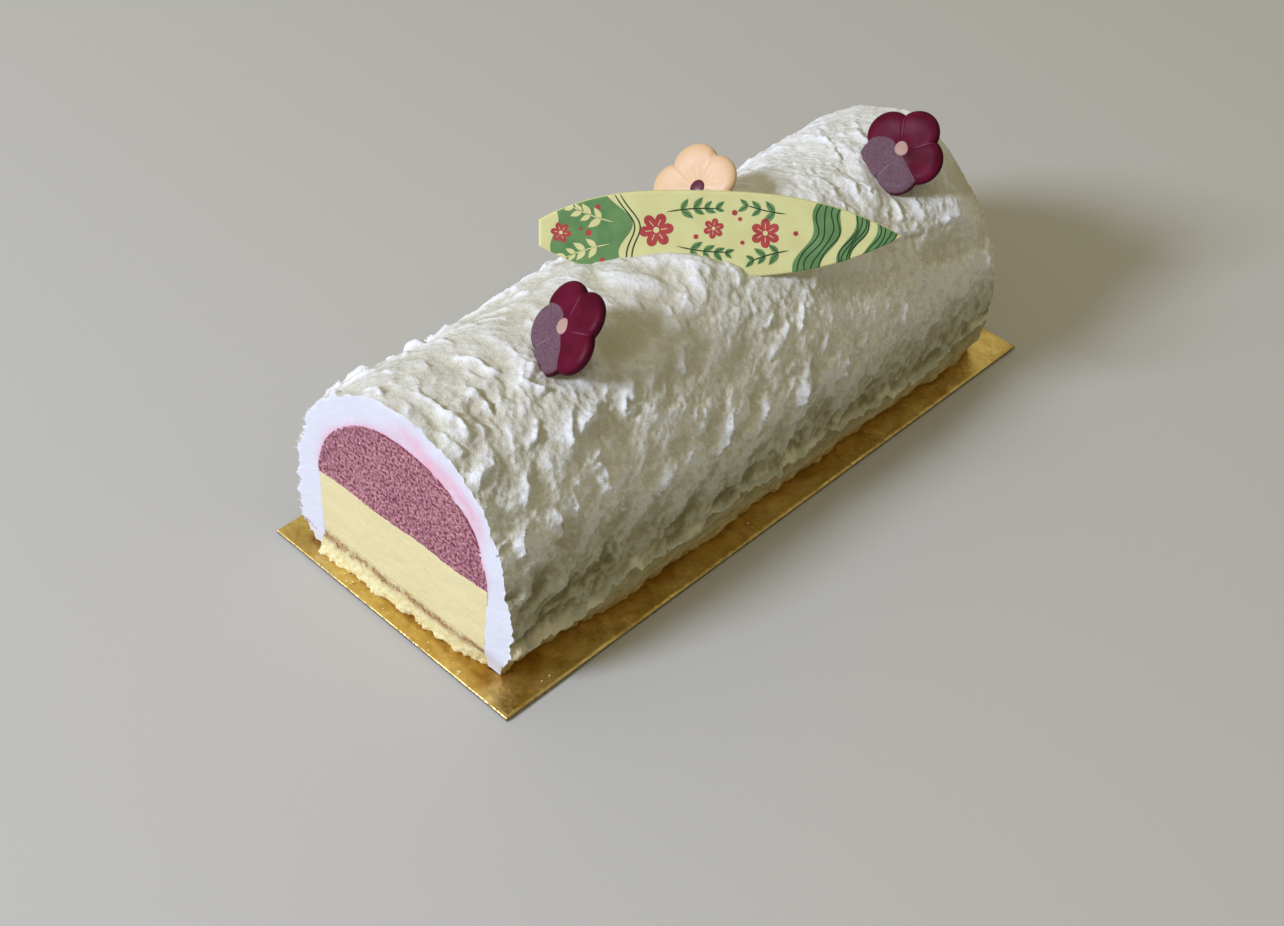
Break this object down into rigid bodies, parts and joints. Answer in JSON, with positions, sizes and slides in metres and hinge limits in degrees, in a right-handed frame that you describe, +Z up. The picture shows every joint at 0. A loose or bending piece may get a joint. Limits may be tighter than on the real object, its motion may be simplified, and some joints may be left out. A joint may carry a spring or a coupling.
{
  "type": "yule log cake",
  "caption": "Arched yule log cake with layered mousse under combed white icing, on a gold cake card, topped with a surfboard-shaped plaque and moulded flowers.",
  "frame": {"origin": "centre of the cake card's underside", "axes": "+X across the log, +Y along the log from the front cut face to the rear one, +Z up"},
  "size_m": [0.1, 0.24, 0.0961],
  "materials": {
    "gold_card": "gold foil laminated on cardboard, softly worn",
    "sponge": "crumbly, with a thin browned skin on top",
    "yellow_mousse": "smooth, cut",
    "raspberry_mousse": "grainy, with darker flecks, cut",
    "icing": "matt whipped icing, combed into ridges",
    "printed_chocolate": "satin white chocolate with a printed leaf pattern",
    "magenta_chocolate": "glossy moulded chocolate",
    "peach_chocolate": "glossy moulded chocolate"
  },
  "bodies": {
    "root": {"cake_card": "gold_card", "sponge_base": "sponge", "yellow_mousse": "yellow_mousse", "raspberry_mousse": "raspberry_mousse", "icing_coat": "icing", "plaque": "printed_chocolate", "flower_front": "magenta_chocolate", "flower_rear": "magenta_chocolate", "flower_peach": "peach_chocolate"}
  },
  "joints": []
}
